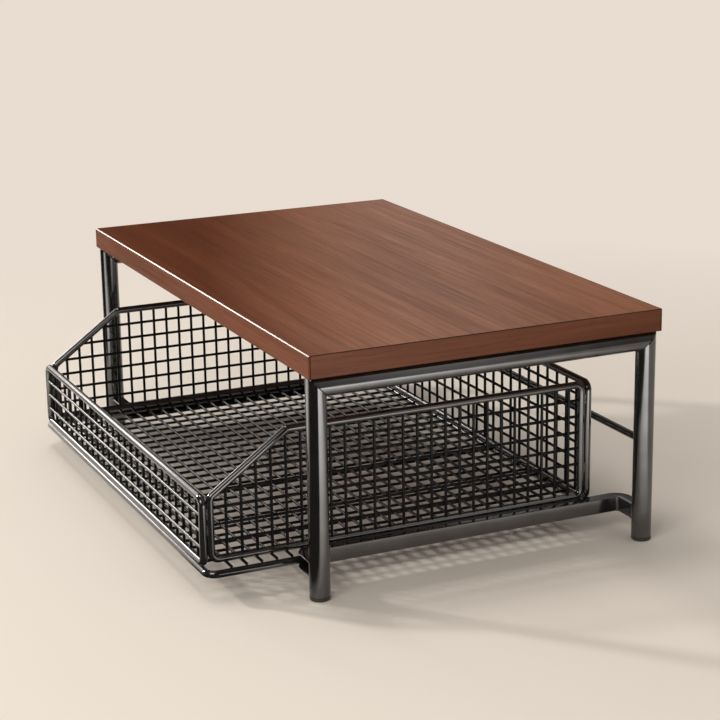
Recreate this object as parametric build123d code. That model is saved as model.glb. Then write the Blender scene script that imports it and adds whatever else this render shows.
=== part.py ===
from build123d import *
from math import sqrt
import os

# A countertop organizer: a wooden board on two side frames of round tube, over one wire basket that
# slides in two low channel runners. Millimetres, +Z up, the front towards -Y and left towards -X.
# Places are worked out from the middle of the board. The origin of the finished part lies on the
# counter, under the middle of its outline with the basket part way out.

# Board, a core with a strip of edge band on each side
board_width = 510.0
board_depth = 300.0
board_thick = 18.0
band_thick = 1.0
board_arris = 0.6

# Side frames of round tube, mitred where a leg meets its top rail
leg_height = 174.0
tube_dia = 16.0
tube_wall = 1.2
leg_inset = 9.0

# Plugs in the feet of the legs
foot_flange = 3.0
foot_plug_depth = 12.0
foot_clearance = 0.1

# Screws that hold the board, driven up inside the top rails, each through a hole in the rail's underside
screw_dia = 4.0
screw_head_dia = 7.0
screw_head_high = 2.4
screw_sides = 8
screw_bite = 12.0
screw_spacing = 170.0
rail_hole_clearance = 0.25
head_hole_clearance = 0.3
pilot_clearance = 0.05

# Rod between the rear legs, which stops the basket
rod_dia = 6.0
rod_height = 83.0

# Runners, channels of bent sheet whose ends turn out to the legs
runner_bottom = 16.0
runner_high = 12.0
sheet = 1.2
runner_bend = 3.0
tab_offset = 5.0
flange_clearance = 0.8
rim_side_clearance = 1.3
rim_lift = 0.3

# Basket, measured between the middles of its frame wires
basket_width = 408.0
basket_depth = 331.5
front_top_height = 78.0
side_top_height = 123.0
slope_run = 63.0
frame_wire_dia = 6.0
frame_sides = 8
frame_bend = 6.0
rim_wing = 9.5
rim_bend = 8.0
basket_out = 20.0
stop_gap = 0.5

# Grid wires inside the frames and on the floor
grid_wire_dia = 2.4
grid_sides = 6
weld_gap = 0.02
end_upright_count = 25
side_upright_count = 25
front_level_count = 3
side_level_count = 6

half_turn_degrees = 180.0
standing = (Align.CENTER, Align.CENTER, Align.MIN)
across_x = (1, 0, 0)
across_y = (0, 1, 0)
across_z = (0, 0, 1)

# Places that follow from the sizes
tube_radius = tube_dia / 2
bore_radius = tube_radius - tube_wall
leg_x = board_width / 2 - leg_inset
leg_y = board_depth / 2 - leg_inset
rail_z = leg_height - tube_radius
rail_under_z = leg_height - tube_dia
tab_y = leg_y - tab_offset
head_hole_radius = screw_head_dia / 2 + head_hole_clearance
head_seat_z = rail_z + sqrt(bore_radius * bore_radius - head_hole_radius * head_hole_radius)

wire_radius = frame_wire_dia / 2
grid_radius = grid_wire_dia / 2
wire_step = frame_wire_dia + weld_gap
grid_step = grid_wire_dia + weld_gap

side_x = basket_width / 2
rear_y = leg_y - rod_dia / 2 - stop_gap - wire_radius - basket_out
front_y = rear_y - basket_depth
side_front_y = front_y + wire_step
side_rear_y = rear_y - wire_step
slope_top_y = side_front_y + slope_run

rim_x = side_x + rim_wing
rim_z = runner_bottom + sheet + rim_lift + wire_radius
cross_z = rim_z + wire_radius + weld_gap + grid_radius
long_z = cross_z - grid_step
end_bottom_z = rim_z + wire_step
side_bottom_z = cross_z + grid_radius + weld_gap + wire_radius

runner_x = rim_x + wire_radius + rim_side_clearance + sheet / 2
runner_mid_z = runner_bottom + runner_high / 2
flange_reach = runner_x - side_x - wire_radius - flange_clearance

front_reach = min(front_y - wire_radius, -board_depth / 2)
rear_reach = max(rear_y + wire_radius, board_depth / 2)
part_place = Pos(0, -(front_reach + rear_reach) / 2, 0)

side_signs = {"left": -1, "right": 1}
end_signs = {"front": -1, "rear": 1}
nodes = {}


def bar_section(radius, sides):
    """The many-sided section of a wire or a screw, with a flat towards its own X direction."""
    return RegularPolygon(radius, sides, major_radius=False, rotation=half_turn_degrees / sides)


def screw_bar(radius, length):
    """A standing length of screw, or the space that one needs."""
    return extrude(bar_section(radius, screw_sides), length)


def screw_places():
    """Middles of the four board screws, two along each top rail."""
    return [(sx * leg_x, sy * screw_spacing / 2) for sx in (-1, 1) for sy in (-1, 1)]


def mitre_plane(side_sign, end_sign):
    """The plane at half a right angle in which a leg meets its top rail."""
    return Plane(origin=(side_sign * leg_x, end_sign * leg_y, rail_z), z_dir=(0, -end_sign, 1))


def tube(length):
    """A standing length of the frame's round tube."""
    outside = Cylinder(tube_radius, length, align=standing)
    return outside - Cylinder(bore_radius, length, align=standing)


def leg(side_sign, end_sign):
    """A leg that stands on its foot plug and ends in the mitre."""
    place = Pos(side_sign * leg_x, end_sign * leg_y, foot_flange)
    standing_tube = place * tube(leg_height - foot_flange)
    return split(standing_tube, bisect_by=mitre_plane(side_sign, end_sign), keep=Keep.BOTTOM)


def top_rail(side_sign):
    """The tube under one end of the board, mitred to both its legs and drilled for the screws."""
    length = 2 * leg_y + tube_dia
    rail = Pos(side_sign * leg_x, length / 2, rail_z) * Rot(half_turn_degrees / 2, 0, 0) * tube(length)
    for end_sign in end_signs.values():
        rail = split(rail, bisect_by=mitre_plane(side_sign, end_sign), keep=Keep.TOP)
    hole_radius = screw_dia / 2 + rail_hole_clearance
    for x, y in screw_places():
        rail = rail - Pos(x, y, rail_under_z) * screw_bar(head_hole_radius, tube_radius)
        rail = rail - Pos(x, y, rail_z) * screw_bar(hole_radius, tube_radius)
    return rail


def foot_plug(side_sign, end_sign):
    """A plastic plug: a flange on the counter and a stem up the bore of the leg."""
    flange = Cylinder(tube_radius, foot_flange, align=standing)
    stem = Cylinder(bore_radius - foot_clearance, foot_plug_depth, align=standing)
    return Pos(side_sign * leg_x, end_sign * leg_y, 0) * (flange + Pos(0, 0, foot_flange) * stem)


def board_screw(x, y):
    """A pan-head screw with its head inside the rail, against its upper wall, and its point in the board."""
    head = screw_bar(screw_head_dia / 2, screw_head_high)
    shank = screw_bar(screw_dia / 2, leg_height - head_seat_z + screw_bite)
    return Pos(x, y, head_seat_z - screw_head_high) * (head + Pos(0, 0, screw_head_high) * shank)


def build_board():
    """The board's core, drilled for its screws, and the bands that cover its four edges."""
    block = Pos(0, 0, leg_height) * Box(board_width, board_depth, board_thick, align=standing)
    block = chamfer(block.edges(), board_arris)
    core_width = board_width - 2 * band_thick
    core_depth = board_depth - 2 * band_thick
    core = Pos(0, 0, leg_height) * Box(core_width, core_depth, board_thick, align=standing)
    for x, y in screw_places():
        pilot = screw_bar(screw_dia / 2 + pilot_clearance, screw_bite + pilot_clearance)
        core = core - Pos(x, y, leg_height) * pilot
    nodes["top_board"] = core
    for name, sign in end_signs.items():
        strip = Box(board_width, band_thick, board_thick, align=standing)
        place = Pos(0, sign * (board_depth - band_thick) / 2, leg_height)
        nodes[f"{name}_edge_band"] = block & place * strip
    for name, sign in side_signs.items():
        strip = Box(band_thick, core_depth, board_thick, align=standing)
        place = Pos(sign * (board_width - band_thick) / 2, 0, leg_height)
        nodes[f"{name}_edge_band"] = block & place * strip


def leg_cope(side_sign, end_sign, height):
    """The round space that a leg takes, with room for the weld."""
    place = Pos(side_sign * leg_x, end_sign * leg_y, 0)
    return place * Cylinder(tube_radius + weld_gap, height, align=standing)


def rear_rod():
    """The rod between the rear legs, its ends cut round to fit them."""
    rod = Pos(-leg_x, leg_y, rod_height) * Rot(0, half_turn_degrees / 2, 0)
    rod = rod * Cylinder(rod_dia / 2, 2 * leg_x, align=standing)
    for side_sign in side_signs.values():
        rod = rod - leg_cope(side_sign, end_signs["rear"], leg_height)
    return rod


def runner(side_sign):
    """A channel along one side, open towards the basket, with both ends bent out to the legs."""
    corners = [(leg_x, -tab_y), (runner_x, -tab_y), (runner_x, tab_y), (leg_x, tab_y)]
    path = FilletPolyline(*[(x, y, runner_mid_z) for x, y in corners], radius=runner_bend)
    edge = (Align.MIN, Align.CENTER)
    outline = Pos(-sheet / 2, 0) * Rectangle(flange_reach + sheet / 2, runner_high, align=edge)
    hollow = Pos(sheet / 2, 0) * Rectangle(flange_reach, runner_high - 2 * sheet, align=edge)
    section = Plane(origin=path @ 0, x_dir=(0, -1, 0), z_dir=path % 0) * (outline - hollow)
    channel = sweep(section, path=path)
    for end_sign in end_signs.values():
        channel = channel - leg_cope(side_signs["right"], end_sign, leg_height)
    return channel if side_sign == side_signs["right"] else mirror(channel, about=Plane.YZ)


def build_frame():
    """Legs, feet, rails, rod, runners and screws."""
    for end_name, end_sign in end_signs.items():
        for side_name, side_sign in side_signs.items():
            nodes[f"{end_name}_{side_name}_leg"] = leg(side_sign, end_sign)
    for side_name, side_sign in side_signs.items():
        nodes[f"{side_name}_top_rail"] = top_rail(side_sign)
        nodes[f"{side_name}_runner"] = runner(side_sign)
    nodes["rear_rod"] = rear_rod()
    plugs = [foot_plug(sx, sy) for sx in side_signs.values() for sy in end_signs.values()]
    nodes["foot_plugs"] = Compound([plug.solid() for plug in plugs])
    nodes["board_screws"] = Compound([board_screw(x, y).solid() for x, y in screw_places()])


def stations(first, last, count):
    """Evenly spaced places between two frame wires."""
    step = (last - first) / (count + 1)
    return [first + step * (index + 1) for index in range(count)]


def frame_loop(corners, bend, flat_side):
    """A closed loop of frame wire with rounded bends."""
    path = FilletPolyline(*corners, radius=bend, close=True)
    section = Plane(origin=path @ 0, x_dir=flat_side, z_dir=path % 0) * bar_section(wire_radius, frame_sides)
    return sweep(section, path=path)


def grid_wire(start, end, flat_side):
    """A straight grid wire whose flats face the wires laid across it."""
    run = Vector(end) - Vector(start)
    section = Plane(origin=start, x_dir=flat_side, z_dir=run) * bar_section(grid_radius, grid_sides)
    return extrude(section, run.length)


def wire_grid(wires, corners):
    """Grid wires trimmed to the opening inside a panel's frame, where they are welded."""
    inside = make_face(FilletPolyline(*corners, radius=frame_bend, close=True))
    opening = extrude(offset(inside, -wire_radius - weld_gap), frame_wire_dia, both=True)
    return Compound([(wire & opening).solid() for wire in wires])


def side_panel(name, sign):
    """A side wall: high at the rear, sloping down to a low front, with its uprights outside."""
    x = sign * side_x
    upright_x = sign * (side_x + grid_step / 2)
    level_x = sign * (side_x - grid_step / 2)
    corners = [
        (x, side_rear_y, side_bottom_z),
        (x, side_rear_y, side_top_height),
        (x, slope_top_y, side_top_height),
        (x, side_front_y, front_top_height),
        (x, side_front_y, side_bottom_z),
    ]
    uprights = [
        grid_wire((upright_x, y, side_bottom_z), (upright_x, y, side_top_height), across_x)
        for y in stations(side_front_y, side_rear_y, side_upright_count)
    ]
    levels = [
        grid_wire((level_x, side_front_y, z), (level_x, side_rear_y, z), across_x)
        for z in stations(side_bottom_z, side_top_height, side_level_count)
    ]
    nodes[f"basket_{name}_frame"] = frame_loop(corners, frame_bend, across_x)
    nodes[f"basket_{name}_uprights"] = wire_grid(uprights, corners)
    nodes[f"basket_{name}_levels"] = wire_grid(levels, corners)


def end_panel(name, sign, y, top_z, level_count):
    """The front or rear wall, standing on the rim, with its level wires outside."""
    upright_y = y - sign * grid_step / 2
    level_y = y + sign * grid_step / 2
    corners = [
        (-side_x, y, end_bottom_z),
        (side_x, y, end_bottom_z),
        (side_x, y, top_z),
        (-side_x, y, top_z),
    ]
    uprights = [
        grid_wire((x, upright_y, end_bottom_z), (x, upright_y, top_z), across_y)
        for x in stations(-side_x, side_x, end_upright_count)
    ]
    levels = [
        grid_wire((-side_x, level_y, z), (side_x, level_y, z), across_y)
        for z in stations(end_bottom_z, top_z, level_count)
    ]
    nodes[f"basket_{name}_frame"] = frame_loop(corners, frame_bend, across_y)
    nodes[f"basket_{name}_uprights"] = wire_grid(uprights, corners)
    nodes[f"basket_{name}_levels"] = wire_grid(levels, corners)


def basket_floor():
    """The base rim that runs in the channels, the cross wires on it and the long wires under them."""
    corners = [
        (-rim_x, front_y, rim_z),
        (rim_x, front_y, rim_z),
        (rim_x, rear_y, rim_z),
        (-rim_x, rear_y, rim_z),
    ]
    cross_wires = [
        grid_wire((-rim_x, y, cross_z), (rim_x, y, cross_z), across_z)
        for y in stations(side_front_y, side_rear_y, side_upright_count)
    ]
    long_front_y = front_y + wire_radius + weld_gap
    long_rear_y = rear_y - wire_radius - weld_gap
    long_wires = [
        grid_wire((x, long_front_y, long_z), (x, long_rear_y, long_z), across_z)
        for x in stations(-side_x, side_x, end_upright_count)
    ]
    nodes["basket_base_rim"] = frame_loop(corners, rim_bend, across_z)
    nodes["basket_cross_wires"] = Compound([wire.solid() for wire in cross_wires])
    nodes["basket_long_wires"] = Compound([wire.solid() for wire in long_wires])


def build_basket():
    """The floor and the four walls, which slide as one."""
    basket_floor()
    end_panel("front", end_signs["front"], front_y, front_top_height, front_level_count)
    end_panel("rear", end_signs["rear"], rear_y, side_top_height, side_level_count)
    for name, sign in side_signs.items():
        side_panel(name, sign)


build_board()
build_frame()
build_basket()
os.makedirs("parts", exist_ok=True)
for node_name, shape in nodes.items():
    export_step(part_place * shape, f"parts/{node_name}.step")
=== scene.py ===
# %% [markdown]
# # A countertop organizer with a pull-out basket
# On the real thing a walnut-faced board stands on two welded side frames, and a basket of welded wire
# slides under it in two low channels. The solids of the part come in first, as a fixed frame at its
# real size in metres. Each piece could be measured by eye from a picture, but reading its place from
# that frame keeps looks and construction together.

# %% Load the frame
import math

import bmesh
import bpy
from mathutils import Matrix, Vector


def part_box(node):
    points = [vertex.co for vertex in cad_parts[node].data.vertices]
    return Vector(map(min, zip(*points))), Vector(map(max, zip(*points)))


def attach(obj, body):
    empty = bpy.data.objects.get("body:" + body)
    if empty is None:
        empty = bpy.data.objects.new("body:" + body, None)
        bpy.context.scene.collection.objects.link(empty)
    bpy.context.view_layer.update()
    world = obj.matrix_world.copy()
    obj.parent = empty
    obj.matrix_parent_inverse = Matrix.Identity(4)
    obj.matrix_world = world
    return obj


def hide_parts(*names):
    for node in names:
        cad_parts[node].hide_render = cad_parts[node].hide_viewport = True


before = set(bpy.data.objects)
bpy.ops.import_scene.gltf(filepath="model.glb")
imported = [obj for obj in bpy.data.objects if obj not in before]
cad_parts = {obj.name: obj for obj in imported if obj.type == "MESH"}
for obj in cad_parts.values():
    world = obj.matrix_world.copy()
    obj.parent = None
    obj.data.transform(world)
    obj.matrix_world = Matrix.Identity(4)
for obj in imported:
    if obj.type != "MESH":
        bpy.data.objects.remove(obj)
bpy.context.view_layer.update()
scene = bpy.context.scene

# %% [markdown]
# ## The camera
# The organizer is seen from its right, from a little above the board, through a long lens. A camera
# could be dragged into place by hand. Here its place follows from two angles, a distance and the point
# that it looks at, because such values are easy to read and to correct by a degree.

# %% Camera
camera_azimuth = math.radians(65.6)
camera_elevation = math.radians(15.6)
camera_roll = math.radians(-0.87)
camera_distance = 1.775
camera_aim = Vector((-0.0362, 0.0578, 0.0948))
camera_lens = 99.2


def standing_camera():
    """A camera that looks at its aim from the given angles."""
    level = math.cos(camera_elevation)
    ahead, across = math.cos(camera_azimuth), math.sin(camera_azimuth)
    back = Vector((across * level, -ahead * level, math.sin(camera_elevation)))
    right = Vector((ahead, across, 0.0))
    place = Matrix((right, back.cross(right), back)).transposed().to_4x4()
    place.translation = camera_aim + back * camera_distance
    made = bpy.data.objects.new("camera", bpy.data.cameras.new("camera"))
    made.matrix_world = place @ Matrix.Rotation(camera_roll, 4, "Z")
    made.data.lens = camera_lens
    scene.collection.objects.link(made)
    return made


scene.camera = standing_camera()
scene.view_settings.view_transform = "Standard"
print("camera at", [round(value, 3) for value in scene.camera.matrix_world.translation])

# %% [markdown]
# ## Nodes in a few words
# Both materials and Geometry Nodes are graphs. Nodes could be added one by one in the editor, or by
# five lines of script each. A small helper that adds a node, sets its options and feeds its inputs
# turns a graph into a short list that reads from the first step to the last.


# %% Helpers for node graphs
def put(tree, kind, inputs=None, **options):
    """Adds a node, sets its options, links or sets its inputs, and gives back its outputs."""
    made = tree.nodes.new(kind)
    for name, value in options.items():
        setattr(made, name, value)
    for key, value in (inputs or {}).items():
        if isinstance(value, bpy.types.NodeSocket):
            tree.links.new(value, made.inputs[key])
        else:
            made.inputs[key].default_value = value
    return made.outputs


def maths(tree, operation, *values):
    """One step of arithmetic on numbers."""
    return put(tree, "ShaderNodeMath", dict(enumerate(values)), operation=operation)[0]


def vectors(tree, operation, *values):
    """One step of arithmetic on vectors, which gives a vector and a number."""
    return put(tree, "ShaderNodeVectorMath", dict(enumerate(values)), operation=operation)


def between(tree, value, low, high, first=0.0, last=1.0):
    """Maps a value's range to another one, and keeps it there."""
    span = {"Value": value, "From Min": low, "From Max": high, "To Min": first, "To Max": last}
    return put(tree, "ShaderNodeMapRange", span)[0]


def ramp(tree, value, stops):
    """A colour that runs through the given stops."""
    made = tree.nodes.new("ShaderNodeValToRGB")
    tree.links.new(value, made.inputs[0])
    while len(made.color_ramp.elements) < len(stops):
        made.color_ramp.elements.new(1.0)
    for element, (position, colour) in zip(made.color_ramp.elements, stops):
        element.position = position
        element.color = (*colour, 1.0)
    return made.outputs[0]


def shaded(tree, colour, value, shades, amount=1.0):
    """A colour times the shade that a value finds on a ramp."""
    mix = {0: amount, 6: colour, 7: ramp(tree, value, shades)}
    return put(tree, "ShaderNodeMix", mix, data_type="RGBA", blend_type="MULTIPLY")[2]


print("node helpers are ready")

# %% [markdown]
# ## Finishes in a few words
# Lacquer, paint and plastic are never quite even, so each finish is one surface shader whose colour,
# gloss and relief come from noise. Painted maps would need every piece unwrapped first. Noise on the
# piece's own coordinates needs no unwrapping, and it stays with the piece when the basket slides.

# %% Helpers for finishes
noise_span = (0.3, 0.7)


def start_finish(name, **constants):
    """A new material with one surface shader. Values that are alike all over go on its own sockets."""
    material = bpy.data.materials.new(name)
    material.use_nodes = True
    tree = material.node_tree
    shader = tree.nodes["Principled BSDF"]
    for label, value in constants.items():
        shader.inputs[label.replace("_", " ")].default_value = value
    place = put(tree, "ShaderNodeTexCoord")["Object"]
    return material, tree, shader, place


def blotches(tree, place, cells, detail=2.0, roughness=0.5, distortion=0.0):
    """Noise on the piece's own coordinates, with its cells per metre along each axis."""
    stretched = vectors(tree, "MULTIPLY", place, cells)[0]
    noise = {"Vector": stretched, "Scale": 1.0, "Detail": detail, "Roughness": roughness}
    return put(tree, "ShaderNodeTexNoise", {**noise, "Distortion": distortion})[0]


def paint_over(tree, shader, colour, noise, gloss):
    """The shader's colour, and a gloss that follows a noise."""
    tree.links.new(colour, shader.inputs["Base Color"])
    tree.links.new(between(tree, noise, *noise_span, *gloss), shader.inputs["Roughness"])


def roughen(tree, shader, height, strength, depth):
    """Fine relief from a height, as a bump on the shader."""
    bump = put(tree, "ShaderNodeBump", {"Height": height, "Strength": strength, "Distance": depth})
    tree.links.new(bump[0], shader.inputs["Normal"])


print("finish helpers are ready, for noise that lies mostly within", noise_span)

# %% [markdown]
# ## Walnut
# The board's face is a printed or veneered walnut: long stripes along the board, broader bands of tone,
# and pores as short dark dashes, all under a satin lacquer. A photograph of wood would be quicker, but
# noise that is stretched along the grain has no edges or repeats and suits any board. The edge bands
# have the same recipe, turned so that their grain runs along each band. Towards the front left the face
# is painted darker: painted shade, for a dark part of the room that the lacquer mirrors there. The filed
# edges are rubbed smooth along the front and rear, and coloured dark along both ends.

# %% Walnut finishes
face_tones = [(0.32, (0.203, 0.071, 0.032)), (0.5, (0.257, 0.098, 0.047)), (0.70, (0.309, 0.127, 0.066))]
long_tones = [(0.28, (0.131, 0.040, 0.018)), (0.5, (0.201, 0.066, 0.030)), (0.74, (0.257, 0.094, 0.047))]
# tones for the filed edges at both ends, coloured darker than the bands
dark_edge_tones = [(0.28, (0.034, 0.011, 0.006)), (0.5, (0.046, 0.016, 0.009)), (0.74, (0.060, 0.022, 0.013))]
end_tones = [(0.28, (0.120, 0.037, 0.017)), (0.5, (0.198, 0.068, 0.034)), (0.74, (0.272, 0.108, 0.058))]
figure_cells = (2.4, 42.0, 42.0)
band_cells = (1.1, 9.0, 9.0)
band_shades = [(0.3, (0.82, 0.80, 0.79)), (0.7, (1.08, 1.07, 1.06))]
streak_cells = (9.0, 330.0, 330.0)
streak_shades = [(0.3, (0.80, 0.78, 0.77)), (0.65, (1.05, 1.05, 1.05))]
pore_cells = (70.0, 1900.0, 1900.0)
pore_shades = [(0.30, (0.55, 0.52, 0.50)), (0.42, (1.0, 1.0, 1.0))]
pore_share = 0.6
pore_relief = 0.12
pore_depth = 0.0002
# painted shade: the face gets darker towards the front left, for a dark part of the room mirrored in the
# lacquer
painted_shade_course = (0.6, 1.65, 0.0)
painted_shade_tones = [(0.0, (0.52, 0.37, 0.27)), (1.0, (1.0, 1.0, 1.0))]


def walnut(name, tones, turn_degrees, shift, shine, satin=(0.46, 0.36), painted_shade_ends=None):
    """Walnut with its grain along X, or turned by an angle about Z."""
    material, tree, shader, place = start_finish(name, Specular_IOR_Level=shine)
    turn = (0.0, 0.0, math.radians(turn_degrees))
    laid = put(tree, "ShaderNodeMapping", {"Vector": place, "Rotation": turn, "Location": shift})[0]
    figure = blotches(tree, laid, figure_cells, detail=5.0, roughness=0.62, distortion=0.7)
    bands = blotches(tree, laid, band_cells)
    streaks = blotches(tree, laid, streak_cells, detail=3.0, roughness=0.6)
    pores = blotches(tree, laid, pore_cells)
    colour = ramp(tree, figure, tones)
    colour = shaded(tree, colour, bands, band_shades)
    colour = shaded(tree, colour, streaks, streak_shades)
    colour = shaded(tree, colour, pores, pore_shades, pore_share)
    # painted shade: darkens the face towards the front left, where the lacquer would mirror a dark room
    if painted_shade_ends:
        along = vectors(tree, "DOT_PRODUCT", laid, painted_shade_course)[1]
        colour = shaded(tree, colour, between(tree, along, *painted_shade_ends), painted_shade_tones)
    paint_over(tree, shader, colour, streaks, satin)
    roughen(tree, shader, pores, pore_relief, pore_depth)
    return material


face_lay = {"turn_degrees": 0.0, "shift": (0.0, 0.0, 0.0)}
long_lay = {"turn_degrees": 0.0, "shift": (0.37, 0.21, 0.05)}
end_lay = {"turn_degrees": 90.0, "shift": (0.11, 0.43, 0.02)}
# the painted shade at the front left of the face fades out between the two ends given here
face_coat = {"shine": 0.13, "satin": (0.36, 0.27), "painted_shade_ends": (-0.16, 0.02)}
walnut_face = walnut("walnut_face", face_tones, **face_lay, **face_coat)
walnut_long_band = walnut("walnut_long_band", long_tones, **long_lay, shine=0.12)
walnut_end_band = walnut("walnut_end_band", end_tones, **end_lay, shine=0.2)
rubbed_edge = walnut("rubbed_edge", long_tones, **long_lay, shine=0.90, satin=(0.22, 0.19))
# the filed edges at both ends are coloured darker than the bands
darkened_end_edge = walnut("darkened_end_edge", dark_edge_tones, **end_lay, shine=0.3, satin=(0.40, 0.34))
print("walnut finishes:", walnut_face.name, walnut_long_band.name, walnut_end_band.name)

# %% [markdown]
# ## Black paint, plastic and steel
# The tubes, channels and thick rods are steel under a thin dark coat that still mirrors like metal. The
# thin wires have plain black paint. No coat is quite even: it has a fine orange-peel relief and a gloss
# that changes a little from place to place. One flat black would do from far away, but that slow change
# of gloss is what breaks up a highlight along a rod. The plugs in the feet are moulded plastic, and the
# screws are zinc-plated.

# %% Black paint, plastic and steel finishes
drift_cells = (60.0, 60.0, 60.0)
peel_cells = (850.0, 850.0, 850.0)
peel_depth = 0.0001


def coat(name, tones, gloss, peel, **constants):
    """An even coat between two tones, with slow changes of gloss and a fine peel."""
    material, tree, shader, place = start_finish(name, **constants)
    drift = blotches(tree, place, drift_cells, detail=3.0)
    relief = blotches(tree, place, peel_cells, detail=1.0)
    paint_over(tree, shader, ramp(tree, drift, list(zip(noise_span, tones))), drift, gloss)
    roughen(tree, shader, relief, peel, peel_depth)
    return material


frame_tones = [(0.128, 0.127, 0.129), (0.155, 0.154, 0.156)]
rod_tones = [(0.135, 0.133, 0.133), (0.165, 0.163, 0.163)]
wire_tones = [(0.006, 0.006, 0.006), (0.011, 0.011, 0.011)]
plastic_tones = [(0.040, 0.039, 0.038), (0.055, 0.053, 0.052)]
zinc_tones = [(0.50, 0.50, 0.49), (0.62, 0.61, 0.59)]
frame_paint = coat("black_frame_paint", frame_tones, gloss=(0.11, 0.15), peel=0.03, Metallic=0.95)
rod_paint = coat("black_rod_paint", rod_tones, gloss=(0.10, 0.15), peel=0.03, Metallic=0.92)
wire_paint = coat("black_wire_paint", wire_tones, gloss=(0.14, 0.20), peel=0.03, Specular_IOR_Level=0.16)
foot_plastic = coat("foot_plastic", plastic_tones, gloss=(0.36, 0.46), peel=0.2, Specular_IOR_Level=0.4)
screw_zinc = coat("screw_zinc", zinc_tones, gloss=(0.26, 0.40), peel=0.15, Metallic=1.0)
print("painted finishes:", frame_paint.name, rod_paint.name, wire_paint.name)
print("moulded and plated finishes:", foot_plastic.name, screw_zinc.name)

# %% [markdown]
# ## Pieces and their bodies
# Each finished piece stands for one or more solids of the frame and moves with the body that they are
# on. That could be said piece by piece. One helper says it for every piece, so that none is forgotten.


# %% Helpers that make and seat a piece
def seat(piece, body, slot, *nodes):
    """The piece moves with a body and stands for these solids, which are hidden. The slot is not used."""
    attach(piece, body)
    if nodes:
        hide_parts(*nodes)
    print(piece.name, "-", len(piece.data.polygons), "faces, for", ", ".join(nodes) or "no solid")


def new_piece(name, mesh):
    """A mesh as an object at the origin."""
    made = bpy.data.objects.new(name, mesh)
    scene.collection.objects.link(made)
    return made


def shaped(name, shell, crease_degrees, *materials):
    """A piece from a shell of faces, smooth up to a crease angle, with its finishes."""
    mesh = bpy.data.meshes.new(name)
    shell.to_mesh(mesh)
    shell.free()
    mesh.shade_smooth()
    mesh.set_sharp_from_angle(angle=math.radians(crease_degrees))
    for material in materials:
        mesh.materials.append(material)
    return new_piece(name, mesh)


print("pieces can be made and seated")

# %% [markdown]
# ## The board
# A core with a walnut face is closed by four strips of edge band, whose outer edges are eased over with
# a file. That easing is what catches the light along the front edge. The core could be one block with
# a texture on all sides, but real strips give the fine seams and let each band have its own grain.

# %% Board and edge bands
band_ease = 0.0006
core_ease = 0.00015
block_crease = 30.0


def eased_block(name, low, high, eased_side, ease, *materials):
    """A block whose edges on one side, or all edges, are taken off at half a right angle."""
    block = bmesh.new()
    middle = (low + high) / 2
    size = Matrix.Diagonal((*(high - low), 1.0))
    bmesh.ops.create_cube(block, size=1.0, matrix=Matrix.Translation(middle) @ size)
    edges = [
        edge
        for edge in block.edges
        if eased_side is None or all((vert.co - middle).dot(eased_side) > 0.0 for vert in edge.verts)
    ]
    bmesh.ops.bevel(block, geom=edges, offset=ease, segments=1, affect="EDGES", material=len(materials) - 1)
    return shaped(name, block, block_crease, *materials)


core = eased_block("board", *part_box("top_board"), None, core_ease, walnut_face)
seat(core, "frame", "walnut_board", "top_board")
band_sides = {
    "front": (Vector((0.0, -1.0, 0.0)), walnut_long_band, rubbed_edge),
    "rear": (Vector((0.0, 1.0, 0.0)), walnut_long_band, rubbed_edge),
    "left": (Vector((-1.0, 0.0, 0.0)), walnut_end_band, darkened_end_edge),
    "right": (Vector((1.0, 0.0, 0.0)), walnut_end_band, darkened_end_edge),
}
for side, (outwards, *grain) in band_sides.items():
    node = f"{side}_edge_band"
    strip = eased_block(f"{side}_band", *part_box(node), outwards, band_ease, *grain)
    seat(strip, "frame", "walnut_edge_band", node)

# %% [markdown]
# ## Legs
# Each side frame is three round tubes: two legs and a rail, cut at half a right angle and welded, then
# ground flush so that only a fine seam shows. A bent pipe along a curve would get thin at the corner.
# A skin over rings does not: the last ring of each tube lies in the mitre plane, and a slightly smaller
# ring beyond it leaves the seam.

# %% Legs
side_signs = {"left": -1.0, "right": 1.0}
end_signs = {"front": -1.0, "rear": 1.0}
tube_sides = 64
tube_crease = 12.0
seam_depth = 0.0003
rail_low, rail_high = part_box("right_top_rail")
tube_radius = (rail_high.x - rail_low.x) / 2
rail_height = rail_high.z - tube_radius
leg_nodes = [f"{end}_{side}_leg" for end in end_signs for side in side_signs]
leg_spots = {node: sum(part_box(node), Vector()) / 2 for node in leg_nodes}


def round_points(count):
    """Directions round a circle."""
    turns = [2.0 * math.pi * index / count for index in range(count)]
    return [(math.cos(turn), math.sin(turn)) for turn in turns]


def level_ring(spot, radius, height, sides=tube_sides):
    """A level circle of points round a spot."""
    return [(spot.x + radius * c, spot.y + radius * s, height) for c, s in round_points(sides)]


def skinned(name, rings, material, capped=True, crease_degrees=35.0):
    """A skin over rings with equally many points: capped, or closed from the last ring to the first."""
    shell = bmesh.new()
    rows = [[shell.verts.new(point) for point in ring] for ring in rings]
    for lower, upper in zip(rows, rows[1:] if capped else rows[1:] + rows[:1]):
        for index in range(len(lower)):
            after = (index + 1) % len(lower)
            shell.faces.new((lower[index], lower[after], upper[after], upper[index]))
    if capped:
        shell.faces.new(rows[0][::-1])
        shell.faces.new(rows[-1])
    bmesh.ops.recalc_face_normals(shell, faces=shell.faces)
    return shaped(name, shell, crease_degrees, material)


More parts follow.
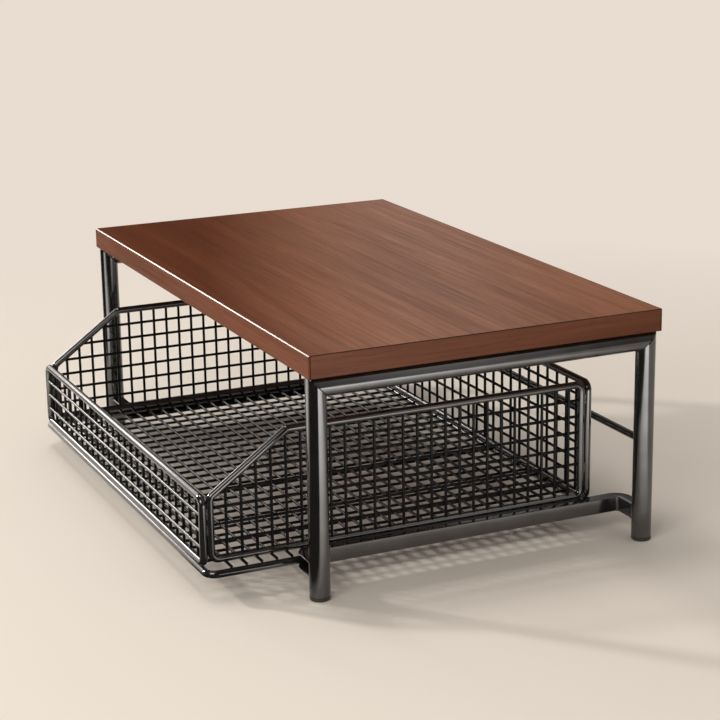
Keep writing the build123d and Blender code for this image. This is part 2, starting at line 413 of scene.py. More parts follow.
def leg_tube(node):
    """An upright tube with its top on the mitre plane."""
    spot = leg_spots[node]
    end_sign = end_signs[node.split("_")[0]]
    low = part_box(node)[0].z

    def mitre(radius, down):
        return [
            (spot.x + radius * c, spot.y + radius * s, rail_height + end_sign * radius * s - down)
            for c, s in round_points(tube_sides)
        ]

    rings = [
        level_ring(spot, tube_radius - seam_depth, low),
        level_ring(spot, tube_radius, low + seam_depth),
        mitre(tube_radius, 2.0 * seam_depth),
        mitre(tube_radius - seam_depth, 0.0),
    ]
    return skinned(f"{node}_tube", rings, frame_paint, crease_degrees=tube_crease)


for leg_node in leg_nodes:
    seat(leg_tube(leg_node), "frame", "black_frame", leg_node)

# %% [markdown]
# ## Top rails
# A rail lies under each end of the board and is drilled twice from below, so that the heads of two screws
# pass into it. The holes could be dark spots in the paint, but holes that are cut with a piece the shape
# of the drill show the tube's wall and the screw inside. For that the rail is an open tube: its skin goes
# out along the outside and back along the bore.

# %% Top rails
tube_wall = 0.0012
head_clearance = 0.0003
bore_radius = tube_radius - tube_wall
screw_low, screw_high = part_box("board_screws")
head_radius = leg_spots["front_left_leg"].x - screw_low.x
head_hole_radius = head_radius + head_clearance
screw_spots = [
    Vector((leg_spots[f"front_{side}_leg"].x, y, screw_low.z))
    for side in side_signs
    for y in (screw_low.y + head_radius, screw_high.y - head_radius)
]


def plain_mesh(piece):
    """The mesh that a piece has after its modifiers."""
    return bpy.data.meshes.new_from_object(piece.evaluated_get(bpy.context.evaluated_depsgraph_get()))


def carve(piece, cutter):
    """Cuts one piece out of another and deletes the cutter."""
    cut = piece.modifiers.new("cut", "BOOLEAN")
    cut.operation = "DIFFERENCE"
    cut.solver = "EXACT"
    cut.use_self = True
    cut.object = cutter
    whole = piece.data
    piece.data = plain_mesh(piece)
    piece.modifiers.remove(cut)
    bpy.data.objects.remove(cutter)
    bpy.data.meshes.remove(whole)


def drill(spot):
    """A standing bar in the space that the drill takes in a rail."""
    heights = (rail_height - 2.0 * tube_radius, rail_height)
    rings = [level_ring(spot, head_hole_radius, height) for height in heights]
    return skinned("drill", rings, frame_paint)


def rail_tube(side):
    """A level tube with both ends on the mitre planes of its legs, drilled from below for its screws."""
    front, rear = leg_spots[f"front_{side}_leg"], leg_spots[f"rear_{side}_leg"]

    def mitre(spot, end_sign, radius, inwards):
        return [
            (spot.x + radius * c, spot.y + end_sign * (radius * s - inwards), rail_height + radius * s)
            for c, s in round_points(tube_sides)
        ]

    rings = [
        mitre(front, -1.0, tube_radius - seam_depth, 0.0),
        mitre(front, -1.0, tube_radius, 2.0 * seam_depth),
        mitre(rear, 1.0, tube_radius, 2.0 * seam_depth),
        mitre(rear, 1.0, tube_radius - seam_depth, 0.0),
        mitre(rear, 1.0, bore_radius, 0.0),
        mitre(front, -1.0, bore_radius, 0.0),
    ]
    rail = skinned(f"{side}_rail_tube", rings, frame_paint, capped=False, crease_degrees=tube_crease)
    for spot in screw_spots:
        if spot.x * front.x > 0.0:
            carve(rail, drill(spot))
    return rail


for side in side_signs:
    seat(rail_tube(side), "frame", "black_frame", f"{side}_top_rail")

# %% [markdown]
# ## Growing pieces with Geometry Nodes
# Wires, bends, welds and screws all repeat or follow a path, so Geometry Nodes make them. Each tree
# gets named inputs for its sizes. It is put on a small host mesh that holds the path or the places,
# its inputs are set, and the result becomes a plain mesh. Copying meshes in a loop would work as well,
# but a tree can be opened and changed by its named sizes.


# %% Helpers for Geometry Nodes
def start_tree(name, sizes):
    """An empty tree that takes geometry and named sizes, and its inputs."""
    tree = bpy.data.node_groups.new(name, "GeometryNodeTree")
    tree.interface.new_socket("Geometry", in_out="INPUT", socket_type="NodeSocketGeometry")
    for label, kind in sizes.items():
        tree.interface.new_socket(label, in_out="INPUT", socket_type=f"NodeSocket{kind}")
    tree.interface.new_socket("Geometry", in_out="OUTPUT", socket_type="NodeSocketGeometry")
    return tree, tree.nodes.new("NodeGroupInput").outputs


def end_tree(tree, geometry, finish, smooth=True):
    """Real faces with their finish at the end of a tree."""
    real = put(tree, "GeometryNodeRealizeInstances", {0: geometry})[0]
    if smooth:
        real = put(tree, "GeometryNodeSetShadeSmooth", {0: real})[0]
    painted = put(tree, "GeometryNodeSetMaterial", {"Geometry": real, "Material": finish})
    put(tree, "NodeGroupOutput", {"Geometry": painted[0]})
    return tree


def grown(name, tree, sizes, points=((0.0, 0.0, 0.0),), edges=()):
    """Runs a tree on a host mesh and keeps the result as a plain mesh."""
    host_mesh = bpy.data.meshes.new(f"{name}_host")
    host_mesh.from_pydata([tuple(point) for point in points], edges, [])
    host = new_piece(name, host_mesh)
    growth = host.modifiers.new("growth", "NODES")
    growth.node_group = tree
    for item in tree.interface.items_tree:
        if item.in_out == "INPUT" and item.name in sizes:
            growth[item.identifier] = sizes[item.name]
    result = plain_mesh(host)
    host.modifiers.remove(growth)
    host.data = result
    bpy.data.meshes.remove(host_mesh)
    return host


def row_edges(count):
    """Edges that join points in a row."""
    return [(index, index + 1) for index in range(count - 1)]


def ring_edges(count):
    """Edges that close a row of points into a loop."""
    return row_edges(count) + [(count - 1, 0)]


print("Geometry Nodes helpers are ready")

# %% [markdown]
# ## A tree for bent rod
# The thick wire round each wall of the basket is one rod, bent round a former and butt-welded. A curve
# object with a round bevel would do, but its bends would have to be drawn. The tree takes the plain
# corners of the loop, rounds them with the bend radius, and sweeps the rod's section along.


# %% Bent rod
def bent_path(tree, geometry, steps, radius):
    """Edges as a path with rounded bends."""
    line = put(tree, "GeometryNodeMeshToCurve", {"Mesh": geometry})[0]
    bend = {"Curve": line, "Count": steps, "Radius": radius}
    return put(tree, "GeometryNodeFilletCurve", bend, mode="POLY")[0]


def round_section(tree, sides, diameter):
    """The round section of a rod or wire."""
    section = {"Resolution": sides, "Radius": maths(tree, "MULTIPLY", diameter, 0.5)}
    return put(tree, "GeometryNodeCurvePrimitiveCircle", section)[0]


def swept(tree, path, section):
    """A section swept along a path, closed at its ends."""
    sweep = {"Curve": path, "Profile Curve": section, "Fill Caps": True}
    return put(tree, "GeometryNodeCurveToMesh", sweep)[0]


def bent_rod_tree():
    """A rod along the host's edges, with rounded bends."""
    sizes = {"Bend Radius": "Float", "Bend Steps": "Int", "Rod Diameter": "Float", "Sides": "Int"}
    tree, given = start_tree("bent_rod", {**sizes, "Finish": "Material"})
    path = bent_path(tree, given["Geometry"], given["Bend Steps"], given["Bend Radius"])
    rod = swept(tree, path, round_section(tree, given["Sides"], given["Rod Diameter"]))
    return end_tree(tree, rod, given["Finish"])


bent_rod = bent_rod_tree()
print("tree for bent rod:", bent_rod.name)

# %% [markdown]
# ## The loops of the basket
# Four loops stand round the walls, and a fifth lies under them as the rim that runs in the channels. The
# two side loops slope down at the front to the height of the front wall. Each loop could be drawn as a
# curve. Its corners follow from the box of its solid, so a short function for each kind is enough.

# %% Loops of the basket
front_low, front_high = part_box("basket_front_frame")
rod_thick = front_high.y - front_low.y
rod_sizes = {"Rod Diameter": rod_thick, "Sides": 24, "Bend Steps": 10, "Finish": rod_paint}
frame_bend = 0.006
rim_bend = 0.008
slope_run = 0.063


def rod_middle(node):
    """Lowest and highest corner of the middle line of a node bent from the basket's rod."""
    inset = Vector((rod_thick, rod_thick, rod_thick)) / 2
    low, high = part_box(node)
    return low + inset, high - inset


front_top = rod_middle("basket_front_frame")[1].z


def plain_corners(node):
    """Corners of a loop that stands across the basket or lies flat under it."""
    low, high = rod_middle(node)
    return [low, (high.x, low.y, low.z), high, (low.x, high.y, high.z)]


def side_corners(node):
    """Corners of a side loop, whose front slopes down to the height of the front wall."""
    low, high = rod_middle(node)
    return [
        (low.x, high.y, low.z),
        (low.x, high.y, high.z),
        (low.x, low.y + slope_run, high.z),
        (low.x, low.y, front_top),
        (low.x, low.y, low.z),
    ]


loops = {
    "basket_front_frame": (plain_corners, frame_bend),
    "basket_rear_frame": (plain_corners, frame_bend),
    "basket_left_frame": (side_corners, frame_bend),
    "basket_right_frame": (side_corners, frame_bend),
    "basket_base_rim": (plain_corners, rim_bend),
}
for node, (corners_of, bend) in loops.items():
    corners = corners_of(node)
    loop_sizes = {**rod_sizes, "Bend Radius": bend}
    loop = grown(f"{node}_rod", bent_rod, loop_sizes, corners, ring_edges(len(corners)))
    seat(loop, "basket", "black_wire", node)

# %% [markdown]
# ## A tree for ranks of wire
# Every wall and the floor have two layers of thin straight wires, laid across each other and welded at
# each crossing. A rank of wires is a row of equal steps, and under the sloped front the wires are cut
# to the slope. An array modifier could repeat a wire but not cut it. The tree sets out the row, draws
# each wire as a line, and slides any end that lies beyond the cutting plane back along its wire.


# %% Ranks of wire
def beyond_plane(tree, given):
    """How far each point lies beyond the cutting plane."""
    here = put(tree, "GeometryNodeInputPosition")[0]
    offset = vectors(tree, "SUBTRACT", here, given["Cut Place"])[0]
    return vectors(tree, "DOT_PRODUCT", offset, given["Cut Normal"])[1]


def wire_rank_tree():
    """Parallel wires at equal steps, cut where they pass a plane."""
    places = dict.fromkeys(("First", "Step", "Run", "Cut Place", "Cut Normal"), "Vector")
    sizes = {"Count": "Int", "Wire Diameter": "Float", "Sides": "Int", "Finish": "Material"}
    tree, given = start_tree("wire_rank", {**places, **sizes})
    row_sizes = {"Count": given["Count"], "Start Location": given["First"], "Offset": given["Step"]}
    row = put(tree, "GeometryNodeMeshLine", row_sizes, mode="OFFSET")
    line = put(tree, "GeometryNodeCurvePrimitiveLine", {"End": given["Run"]})
    lines = put(tree, "GeometryNodeInstanceOnPoints", {"Points": row[0], "Instance": line[0]})
    lines = put(tree, "GeometryNodeRealizeInstances", {0: lines[0]})
    over = maths(tree, "MAXIMUM", beyond_plane(tree, given), 0.0)
    along = vectors(tree, "NORMALIZE", given["Run"])[0]
    lean = vectors(tree, "DOT_PRODUCT", along, given["Cut Normal"])[1]
    back = maths(tree, "MULTIPLY", maths(tree, "DIVIDE", over, lean), -1.0)
    shift = put(tree, "ShaderNodeVectorMath", {0: along, "Scale": back}, operation="SCALE")[0]
    cut = put(tree, "GeometryNodeSetPosition", {"Geometry": lines[0], "Offset": shift})
    wires = swept(tree, cut[0], round_section(tree, given["Sides"], given["Wire Diameter"]))
    return end_tree(tree, wires, given["Finish"])


wire_rank = wire_rank_tree()
cross_low, cross_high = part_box("basket_cross_wires")
long_low, long_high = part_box("basket_long_wires")
wire_thick = cross_high.z - cross_low.z
layer_gap = (cross_low.z + cross_high.z - long_low.z - long_high.z) / 4
wire_sizes = {"Wire Diameter": wire_thick, "Sides": 14}
weld_bury = 0.0015
no_cut = {"Cut Place": (0.0, 0.0, 0.0), "Cut Normal": (0.0, 0.0, 0.0)}


def rank(name, node, corner, run, spread, count, short=weld_bury, cut=no_cut, finish=wire_paint):
    """Wires along a run, in equal steps over a spread, that stop a little short of the run's ends."""
    inset = run.normalized() * short
    step = spread / (count + 1)
    places = {"First": corner + inset + step, "Step": step, "Run": run - 2.0 * inset, **cut}
    wires = grown(name, wire_rank, {**wire_sizes, **places, "Count": count, "Finish": finish})
    seat(wires, "basket", "black_wire", node)


def slope_cut(node):
    """The plane of a side wall's slope, set into the rod so that wire ends reach it."""
    low, high = rod_middle(node)
    normal = Vector((0.0, front_top - high.z, slope_run)).normalized()
    place = Vector((low.x, low.y, front_top)) - normal * weld_bury
    return {"Cut Place": place, "Cut Normal": normal}


print("wire", round(wire_thick, 5), "m thick, layers", round(2 * layer_gap, 5), "m apart")

# %% [markdown]
# ## Walls and floor of the basket
# The side walls have their upright wires outside and their level wires inside. The front and rear walls
# have it the other way round, so the long level wires are what a hand meets at the front. The real wires
# all have one black coat, but the front level wires get the rods' brighter coat as painted sheen, for the
# stronger light that they catch there. On the floor the cross wires lie on the rim and the long wires hang
# under them. Each wall could have a tree of its own, but all of that is only a change of places and steps,
# so two short functions use the same tree.

# %% Walls and floor
wires_per_wall = 25
level_counts = {"front": 3, "rear": 6, "left": 6, "right": 6}


def wall_ranks(side, upright_way, cut=no_cut, finish=wire_paint):
    """Uprights on one side of a wall's middle, and level wires with their finish on the other."""
    wall = f"basket_{side}"
    low, high = rod_middle(f"{wall}_frame")
    aside = Vector(upright_way) * layer_gap
    level = Vector((high.x - low.x, high.y - low.y, 0.0))
    tall = Vector((0.0, 0.0, high.z - low.z))
    rank(f"{side}_upright_wires", f"{wall}_uprights", low + aside, tall, level, wires_per_wall, cut=cut)
    count = level_counts[side]
    rank(f"{side}_level_wires", f"{wall}_levels", low - aside, level, tall, count, cut=cut, finish=finish)


def floor_ranks():
    """Cross wires on the rim, and long wires under them that reach into the end loops."""
    side_low, side_high = rod_middle("basket_right_frame")
    end_low, end_high = rod_middle("basket_front_frame")
    corner = Vector((cross_low.x, side_low.y, (cross_low.z + cross_high.z) / 2))
    run = Vector((cross_high.x - cross_low.x, 0.0, 0.0))
    spread = Vector((0.0, side_high.y - side_low.y, 0.0))
    rank("floor_cross_wires", "basket_cross_wires", corner, run, spread, wires_per_wall, short=0.0)
    corner = Vector((end_low.x, long_low.y, (long_low.z + long_high.z) / 2))
    run = Vector((0.0, long_high.y - long_low.y, 0.0))
    spread = Vector((end_high.x - end_low.x, 0.0, 0.0))
    rank("floor_long_wires", "basket_long_wires", corner, run, spread, wires_per_wall, short=-weld_bury)


for side, sign in side_signs.items():
    wall_ranks(side, (sign, 0.0, 0.0), cut=slope_cut(f"basket_{side}_frame"))
# painted sheen: the front level wires get the rods' brighter coat for the stronger light that they catch
wall_ranks("front", (0.0, 1.0, 0.0), finish=rod_paint)
wall_ranks("rear", (0.0, -1.0, 0.0))
floor_ranks()

# %% [markdown]
# ## Channels for the basket
# Each runner is a strip of sheet, rolled to a channel that is open towards the basket, and turned
# outwards at both ends to reach the legs. It could be cut from a block, but a section swept along its
# path shows the bends as they are made. The tree takes the section as a second object, eases its
# corners, and keeps it upright while it follows the path.


# %% Runner channels
def channel_tree():
    """A section swept along the host's edges, kept upright in the bends."""
    eases = {"Section": "Object", "Section Ease": "Float", "Ease Steps": "Int"}
    bends = {"Bend Radius": "Float", "Bend Steps": "Int", "Finish": "Material"}
    tree, given = start_tree("rolled_channel", {**eases, **bends})
    shape = put(tree, "GeometryNodeObjectInfo", {"Object": given["Section"]})["Geometry"]
    outline = bent_path(tree, shape, given["Ease Steps"], given["Section Ease"])
    path = bent_path(tree, given["Geometry"], given["Bend Steps"], given["Bend Radius"])
    path = put(tree, "GeometryNodeSetCurveNormal", {"Curve": path}, mode="Z_UP")[0]
    return end_tree(tree, swept(tree, path, outline), given["Finish"])


rolled_channel = channel_tree()
sheet = 0.0012
sheet_ease_share = 0.45
flange_reach = 0.0106
runner_low, runner_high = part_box("right_runner")
half_high = (runner_high.z - runner_low.z) / 2
upper_half = [
    (-sheet / 2, half_high),
    (flange_reach, half_high),
    (flange_reach, half_high - sheet),
    (sheet / 2, half_high - sheet),
]
lower_half = [(x, -y) for x, y in upper_half]
section_points = [(x, y, 0.0) for x, y in lower_half + upper_half[::-1]]
section_mesh = bpy.data.meshes.new("channel_section")
section_mesh.from_pydata(section_points, ring_edges(len(section_points)), [])
channel_section = new_piece("channel_section", section_mesh)
channel_sizes = {
    "Section": channel_section,
    "Section Ease": sheet_ease_share * sheet,
    "Ease Steps": 4,
    "Bend Radius": 0.003,
    "Bend Steps": 8,
    "Finish": frame_paint,
}


def runner_path(sign):
    """The middle of the web, from leg to leg, in the direction that opens the channel inwards."""
    web_x = runner_low.x + flange_reach
    leg_x = leg_spots["front_right_leg"].x
    height = (runner_low.z + runner_high.z) / 2
    front_y = runner_low.y + flange_reach
    rear_y = runner_high.y - flange_reach
    path = [(leg_x, rear_y), (web_x, rear_y), (web_x, front_y), (leg_x, front_y)]
    return [(sign * x, y, height) for x, y in path][:: int(sign)]


for side, sign in side_signs.items():
    path = runner_path(sign)
    channel = grown(f"{side}_channel", rolled_channel, channel_sizes, path, row_edges(len(path)))
    seat(channel, "frame", "black_frame", f"{side}_runner")
bpy.data.objects.remove(channel_section)

# %% [markdown]
# ## The rear rod
# A plain rod ties the rear legs together and stops the basket. It could be a cylinder, but the tree for
# bent rod makes it from a path of two points, with no new code.

# %% Rear rod
rod_low, rod_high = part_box("rear_rod")
rod_height = (rod_low.z + rod_high.z) / 2
rod_diameter = rod_high.z - rod_low.z
rear_spots = [leg_spots[f"rear_{side}_leg"] for side in side_signs]
rod_ends = [(spot.x, spot.y, rod_height) for spot in rear_spots]
tie_sizes = {**rod_sizes, "Rod Diameter": rod_diameter, "Bend Radius": 0.0, "Finish": frame_paint}
tie = grown("rear_tie_rod", bent_rod, tie_sizes, rod_ends, row_edges(len(rod_ends)))
seat(tie, "frame", "black_frame", "rear_rod")

# %% [markdown]
# ## Welds
# The rod and the channels are welded to the legs, and the loops of the basket are tacked together where
# they touch. Weld metal sets in drops that overlap, no two alike. They could be sculpted, but a row of
# small balls along a path, each with its own size, is quick and stays in place when the path changes.
# The sizes come from a random value with a fixed seed, so each run gives the same row.


# %% Welds
def weld_tree():
    """Overlapping drops along the host's edges, with sizes that differ by chance."""
    sizes = {"Drop Step": "Float", "Drop Diameter": "Float", "Unevenness": "Float", "Seed": "Int"}
    tree, given = start_tree("weld_row", {**sizes, "Finish": "Material"})
    line = put(tree, "GeometryNodeMeshToCurve", {"Mesh": given["Geometry"]})
    steps = {"Curve": line[0], "Length": given["Drop Step"]}
    row = put(tree, "GeometryNodeCurveToPoints", steps, mode="LENGTH")
    least = maths(tree, "SUBTRACT", 1.0, given["Unevenness"])
    most = maths(tree, "ADD", 1.0, given["Unevenness"])
    limits = {2: least, 3: most, "Seed": given["Seed"]}
    chance = put(tree, "FunctionNodeRandomValue", limits, data_type="FLOAT")[1]
    ball = {"Radius": maths(tree, "MULTIPLY", given["Drop Diameter"], 0.5), "Subdivisions": 2}
    drop = put(tree, "GeometryNodeMeshIcoSphere", ball)
    set_down = {"Points": row[0], "Instance": drop[0], "Scale": chance}
    drops = put(tree, "GeometryNodeInstanceOnPoints", set_down)
    return end_tree(tree, drops[0], given["Finish"])


weld_row = weld_tree()
weld_sizes = {"Drop Step": 0.0011, "Drop Diameter": 0.0022, "Unevenness": 0.22, "Seed": 7}
saddle_points = 24
tack_depth = 0.0012
tack_long = 0.007


def inner_face(spot, offset):
    """Where the inside of a leg lies, at a distance from its middle to the front or rear."""
    return spot.x - math.copysign(math.sqrt(tube_radius**2 - offset**2), spot.x)


def rod_weld(spot):
    """The saddle line round the rear rod where it meets a leg."""
    circle = [(rod_diameter / 2 * c, rod_diameter / 2 * s) for c, s in round_points(saddle_points)]
    line = [(inner_face(spot, y), spot.y + y, rod_height + z) for y, z in circle]
    return line, ring_edges(len(line))


def tab_weld(spot):
    """The upright line where the end of a channel meets a leg."""
    inset = flange_reach + sheet / 2
    face_y = runner_low.y + inset if spot.y < 0.0 else runner_high.y - inset
    place = (inner_face(spot, face_y - spot.y), face_y)
    return [(*place, runner_low.z + sheet), (*place, runner_high.z - sheet)], row_edges(2)


def corner_tacks():
    """Short lines in the grooves between the side loops and the front and rear loops."""
    points = []
    for side, outwards in side_signs.items():
        low, high = rod_middle(f"basket_{side}_frame")
        for groove_y, top in ((low.y - rod_thick / 2, front_top), (high.y + rod_thick / 2, high.z)):
            for height in (low.z + 4.0 * rod_thick, top - 2.0 * rod_thick):
                for depth in (outwards, -outwards):
                    x = low.x + depth * tack_depth
                    points += [(x, groove_y, height - tack_long / 2), (x, groove_y, height + tack_long / 2)]
    return points, row_edges(len(points))[::2]


frame_points, frame_edges = [], []
for spot in leg_spots.values():
    leg_welds = [tab_weld(spot)]
    if spot in rear_spots:
        leg_welds.append(rod_weld(spot))
    for line, joins in leg_welds:
        start = len(frame_points)
        frame_edges += [(first + start, last + start) for first, last in joins]
        frame_points += line
frame_weld_sizes = {**weld_sizes, "Finish": frame_paint}
seat(grown("frame_welds", weld_row, frame_weld_sizes, frame_points, frame_edges), "frame", "black_frame")
tack_sizes = {**weld_sizes, "Finish": rod_paint}
seat(grown("basket_tacks", weld_row, tack_sizes, *corner_tacks()), "basket", "black_wire")

# %% [markdown]
# ## Feet
# Four plastic plugs close the legs from below, each with a stem in the tube and a rounded sole. A plug is
# turned once as a lathe would turn it, and a tree sets out copies at the places of the solids. Copies
# by hand would do for four, but the same tree serves the screws after this.


# %% Feet
def set_out_tree():
    """Copies of a pattern piece at the host's points."""
    tree, given = start_tree("set_out", {"Pattern": "Object", "Finish": "Material"})
    shape = put(tree, "GeometryNodeObjectInfo", {"Object": given["Pattern"]})["Geometry"]
    copies = put(tree, "GeometryNodeInstanceOnPoints", {"Points": given["Geometry"], "Instance": shape})
    return end_tree(tree, copies[0], given["Finish"], smooth=False)


def turned(name, profile, material, sides):
    """A piece turned on a lathe from radii and heights."""
    rings = [level_ring(Vector(), radius, height, sides) for radius, height in profile]
    return skinned(name, rings, material)


set_out = set_out_tree()
foot_low, foot_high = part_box("foot_plugs")
flange_high = min(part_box(node)[0].z for node in leg_nodes)
flange_ease = 0.0003
stem_clearance = 0.0002
stem_radius = bore_radius - stem_clearance
sole_insets_and_rises = [(0.0012, 0.0), (0.0004, 0.0003), (0.0, 0.0011)]
plug_profile = [
    *[(tube_radius - inset, rise) for inset, rise in sole_insets_and_rises],
    (tube_radius, flange_high - flange_ease),
    (tube_radius - flange_ease, flange_high),
    (stem_radius, flange_high),
    (stem_radius, foot_high.z),
]
plug_sides = 48
plug = turned("plug_pattern", plug_profile, foot_plastic, plug_sides)
plug_spots = [(spot.x, spot.y, foot_low.z) for spot in leg_spots.values()]
feet = grown("foot_plug_set", set_out, {"Pattern": plug, "Finish": foot_plastic}, plug_spots)
seat(feet, "frame", "foot_plastic", "foot_plugs")
bpy.data.objects.remove(plug)

# %% [markdown]
# ## Screws
# Four pan-head screws hold the board from below. A screw is turned like a plug, and its crossed recess is
# cut into the head. A dark cross in the paint would do from far away. A cut recess also shows its depth
# when someone looks up from under the board.

# %% Screws
screw_sides = 32
screw_radius = 0.002
screw_long = screw_high.z - screw_low.z
head_high = 0.0024
head_shares = [(0.30, 0.0), (0.62, 0.10), (0.86, 0.30), (0.97, 0.62), (1.0, 0.85), (1.0, 1.0)]
head_profile = [(out * head_radius, up * head_high) for out, up in head_shares]
shank_profile = [(screw_radius, head_high), (screw_radius, screw_long)]
recess_wide = 0.0010
recess_long = 0.0040
recess_deep = 0.0013


def cross_recess():
    """The space that the screwdriver takes in a screw's head."""
    arms = bmesh.new()
    for size in ((recess_long, recess_wide), (recess_wide, recess_long)):
        block = Matrix.Diagonal((*size, 2.0 * recess_deep, 1.0))
        bmesh.ops.create_cube(arms, size=1.0, matrix=block)
    mesh = bpy.data.meshes.new("recess")
    arms.to_mesh(mesh)
    arms.free()
    mesh.materials.append(screw_zinc)
    return new_piece("recess", mesh)


screw = turned("screw_pattern", head_profile + shank_profile, screw_zinc, screw_sides)
carve(screw, cross_recess())
screws = grown("board_screw_set", set_out, {"Pattern": screw, "Finish": screw_zinc}, screw_spots)
seat(screws, "frame", "screw_steel", "board_screws")
bpy.data.objects.remove(screw)

# %% [markdown]
# ## The counter
# The organizer stands on a plain pale counter. Bright metal is seen by what it mirrors. A photographer
# lays a black and a white card beside the object for that. Here the counter itself does it: rays that
# come from a mirror find it dark in front of the legs and light beside them. The camera sees neither.

# %% Counter
counter_reach = 9.0
counter_shine = 0.1
counter_cells = (1.6, 1.6, 1.6)
counter_tones = [(0.3, (0.775, 0.715, 0.640)), (0.7, (0.790, 0.735, 0.665))]
counter_gloss = (0.50, 0.58)
backdrop_tone = (0.805, 0.720, 0.630, 1.0)
backdrop_ends = (0.5, 1.05)
dark_tone = (0.030, 0.028, 0.026, 1.0)
bright_tone = (1.0, 0.99, 0.97, 1.0)
mirror_cards = [
    (bright_tone, 4.2, {"left": 0.90, "right": counter_reach, "rear": 0.22, "fade": 0.60, "soft": 0.10}),
    (bright_tone, 2.4, {"left": -0.22, "right": -0.04, "rear": -0.40, "fade": 0.06, "soft": 0.06}),
    (dark_tone, 1.0, {"left": 0.14, "right": counter_reach, "rear": -0.155, "fade": 0.03, "soft": 0.03}),
    (dark_tone, 1.0, {"left": -counter_reach, "right": -0.34, "rear": -0.35, "fade": 0.06, "soft": 0.06}),
]


def card_share(tree, across, glossy, left, right, rear, fade, soft):
    """How much of a card a mirrored ray finds at a place, with soft edges."""
    edges = [
        between(tree, across[0], left - fade, left),
        between(tree, across[0], right + soft, right),
        between(tree, across[1], rear + soft, rear),
    ]
    share = glossy
    for edge in edges:
        share = maths(tree, "MULTIPLY", share, edge)
    return share


def counter_finish():
    """A pale finish, even in tone far from the organizer, with cards that only mirrors show."""
    material, tree, shader, place = start_finish("counter_top", Specular_IOR_Level=counter_shine)
    cloud = blotches(tree, place, counter_cells)
    paint_over(tree, shader, ramp(tree, cloud, counter_tones), cloud, counter_gloss)
    rays = put(tree, "ShaderNodeLightPath")
    across = put(tree, "ShaderNodeSeparateXYZ", {0: place})
    far = between(tree, vectors(tree, "LENGTH", place)[1], *backdrop_ends)
    seen_far = maths(tree, "MULTIPLY", far, rays["Is Camera Ray"])
    even = put(tree, "ShaderNodeEmission", {"Color": backdrop_tone})[0]
    surface = put(tree, "ShaderNodeMixShader", {0: seen_far, 1: shader.outputs[0], 2: even})[0]
    for tone, strength, card in mirror_cards:
        share = card_share(tree, across, rays["Is Glossy Ray"], **card)
        glow = put(tree, "ShaderNodeEmission", {"Color": tone, "Strength": strength})[0]
        surface = put(tree, "ShaderNodeMixShader", {0: share, 1: surface, 2: glow})[0]
    tree.links.new(surface, tree.nodes["Material Output"].inputs["Surface"])
    return material


counter_mesh = bpy.data.meshes.new("counter")
counter_ends = (-counter_reach, counter_reach)
counter_mesh.from_pydata([(x, y, 0.0) for y in counter_ends for x in counter_ends], [], [(0, 1, 3, 2)])
counter_mesh.materials.append(counter_finish())
counter = new_piece("counter", counter_mesh)
print("counter:", counter.name, "with", len(mirror_cards), "cards")

# %% [markdown]
# ## Lamps
# A window on the left draws the white line along the board's front edge. A small low lamp at the front
# left sends light under the board, so that the basket draws its mesh on the counter. A lamp above and one
# at the front right fill the rest. A single sun would be simpler, but it would leave the basket in the
# dark.

# %% Lamps
lamp_aim = Vector((0.0, 0.0, 0.1))
window_place = Vector((-3.33, -0.98, 1.41))


def soft_lamp(name, place, wide, high, power, colour):
    """A rectangular lamp that faces the organizer."""
    lamp = bpy.data.lights.new(name, "AREA")
    lamp.shape = "RECTANGLE"
    lamp.size = wide
    lamp.size_y = high
    lamp.energy = power
    lamp.color = colour
    made = bpy.data.objects.new(name, lamp)
    made.location = place
    made.visible_camera = False
    made.rotation_mode = "QUATERNION"
    made.rotation_quaternion = (lamp_aim - Vector(place)).to_track_quat("-Z", "Y")
    scene.collection.objects.link(made)
    return made


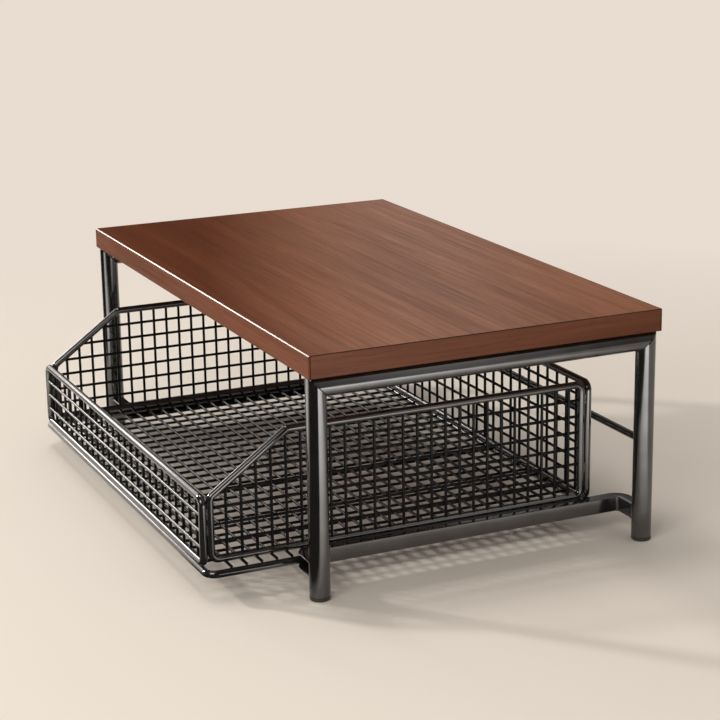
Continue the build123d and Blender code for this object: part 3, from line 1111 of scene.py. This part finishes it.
lamps = [
    soft_lamp("window", window_place, wide=0.44, high=0.68, power=11.5, colour=(1.0, 0.97, 0.94)),
    soft_lamp("low_sun", (-2.55, -2.55, 1.90), wide=0.27, high=0.27, power=76.0, colour=(1.0, 0.96, 0.91)),
    soft_lamp("key", (-0.40, -0.25, 2.2), wide=0.7, high=0.7, power=11.0, colour=(1.0, 0.96, 0.91)),
    soft_lamp("fill", (1.1, -1.2, 1.2), wide=0.9, high=0.9, power=9.0, colour=(1.0, 0.95, 0.90)),
]
print("lamps:", ", ".join(lamp.name for lamp in lamps))

# %% [markdown]
# ## The room
# A pale room gives the last light, and lacquer and metal mirror it. A picture of a room, wrapped round the
# scene, is the usual way. A few tones do as well and can be set one by one: dark at the front, a lit wall
# towards the rear, and a soft glow round the window, which is what shines on the front rods. Only mirrored
# rays find them. The camera sees an even backdrop.

# %% Room
room_tone = (1.0, 0.955, 0.91, 1.0)
room_strengths = (0.33, 0.63)
mirrored_tones = [(0.36, (0.02, 0.02, 0.02)), (0.435, (2.0, 2.0, 2.0)), (0.50, (0.36, 0.36, 0.36))]
glow_ends = (0.87, 0.95)
glow_strength = 1.8


def pale_room():
    """Light from all round, stronger from above, and an even pale tone behind the counter."""
    world = bpy.data.worlds.new("pale_room")
    world.use_nodes = True
    tree = world.node_tree
    sight = put(tree, "ShaderNodeTexCoord")["Generated"]
    spot = put(tree, "ShaderNodeSeparateXYZ", {0: sight})
    rise = maths(tree, "MAXIMUM", spot[2], 0.0)
    strength = between(tree, maths(tree, "MULTIPLY", rise, rise), 0.0, 1.0, *room_strengths)
    lit_wall = ramp(tree, spot[1], mirrored_tones)
    facing = vectors(tree, "DOT_PRODUCT", sight, window_place.normalized())[1]
    glow = between(tree, facing, *glow_ends, 0.0, glow_strength)
    mirrored = maths(tree, "MULTIPLY_ADD", strength, lit_wall, glow)
    rays = put(tree, "ShaderNodeLightPath")
    choice = {"Factor": rays["Is Glossy Ray"], "A": strength, "B": mirrored}
    found = put(tree, "ShaderNodeMix", choice)[0]
    sky = put(tree, "ShaderNodeBackground", {"Color": room_tone, "Strength": found})[0]
    even = put(tree, "ShaderNodeBackground", {"Color": backdrop_tone})[0]
    room = put(tree, "ShaderNodeMixShader", {0: rays["Is Camera Ray"], 1: sky, 2: even})[0]
    tree.links.new(room, tree.nodes["World Output"].inputs["Surface"])
    return world


scene.world = pale_room()
print("room:", scene.world.name)
